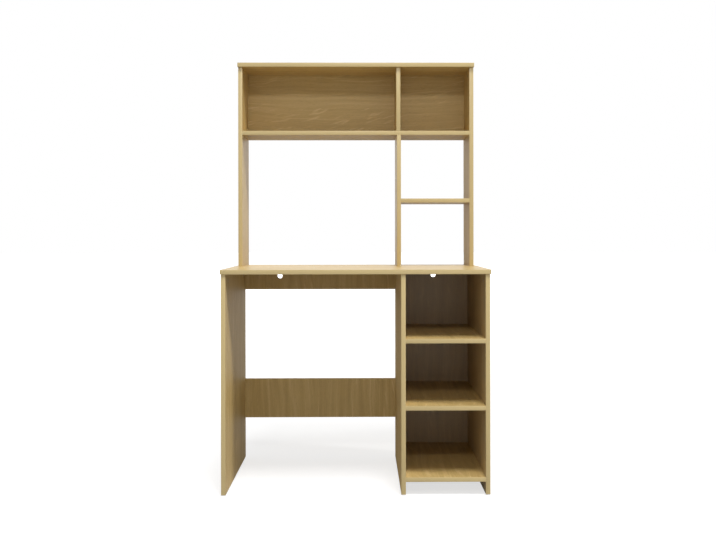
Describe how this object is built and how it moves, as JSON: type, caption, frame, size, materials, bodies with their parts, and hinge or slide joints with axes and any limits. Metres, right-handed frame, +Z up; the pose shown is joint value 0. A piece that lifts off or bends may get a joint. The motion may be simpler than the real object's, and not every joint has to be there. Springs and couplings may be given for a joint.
{
  "type": "student desk with hutch",
  "caption": "Student desk with an open cubby pedestal, a knee space with rear rails, cable holes, and an open shelved hutch standing along the back of the desktop.",
  "frame": {"origin": "on the floor under the middle of the desktop, the bottom centre of the bounding box", "axes": "+Z up, front faces -Y, +X to the sitter's right, where the pedestal stands"},
  "size_m": [0.9, 0.5, 1.5],
  "materials": {
    "oak_board": "satin light oak melamine on chipboard",
    "edge_banding": "matt light oak edge banding",
    "cam_lock_zinc": "die-cast zinc",
    "fastener_steel": "zinc-plated steel",
    "beech_dowel": "plain beech",
    "glide_plastic": "moulded brown plastic"
  },
  "bodies": {
    "root": {"desk_cam_bolts": "fastener_steel", "desk_cam_locks": "cam_lock_zinc", "desk_divider": "oak_board", "desk_divider_edging": "edge_banding", "desk_dowels": "beech_dowel", "desk_left_side": "oak_board", "desk_left_side_edging": "edge_banding", "desk_right_side": "oak_board", "desk_right_side_edging": "edge_banding", "desktop": "oak_board", "desktop_edging": "edge_banding", "glides": "glide_plastic", "hutch_back": "oak_board", "hutch_cam_bolts": "fastener_steel", "hutch_cam_locks": "cam_lock_zinc", "hutch_dowels": "beech_dowel", "hutch_left_side": "oak_board", "hutch_left_side_edging": "edge_banding", "hutch_long_shelf": "oak_board", "hutch_long_shelf_edging": "edge_banding", "hutch_lower_divider": "oak_board", "hutch_lower_divider_edging": "edge_banding", "hutch_right_side": "oak_board", "hutch_right_side_edging": "edge_banding", "hutch_screws": "fastener_steel", "hutch_small_shelf": "oak_board", "hutch_small_shelf_edging": "edge_banding", "hutch_top": "oak_board", "hutch_top_edging": "edge_banding", "hutch_upper_divider": "oak_board", "hutch_upper_divider_edging": "edge_banding", "modesty_rail": "oak_board", "modesty_rail_edging": "edge_banding", "pedestal_back": "oak_board", "pedestal_back_edging": "edge_banding", "pedestal_bottom": "oak_board", "pedestal_bottom_edging": "edge_banding", "pedestal_middle_shelf": "oak_board", "pedestal_middle_shelf_edging": "edge_banding", "pedestal_upper_shelf": "oak_board", "pedestal_upper_shelf_edging": "edge_banding", "rear_top_rail": "oak_board", "rear_top_rail_edging": "edge_banding"}
  },
  "joints": []
}
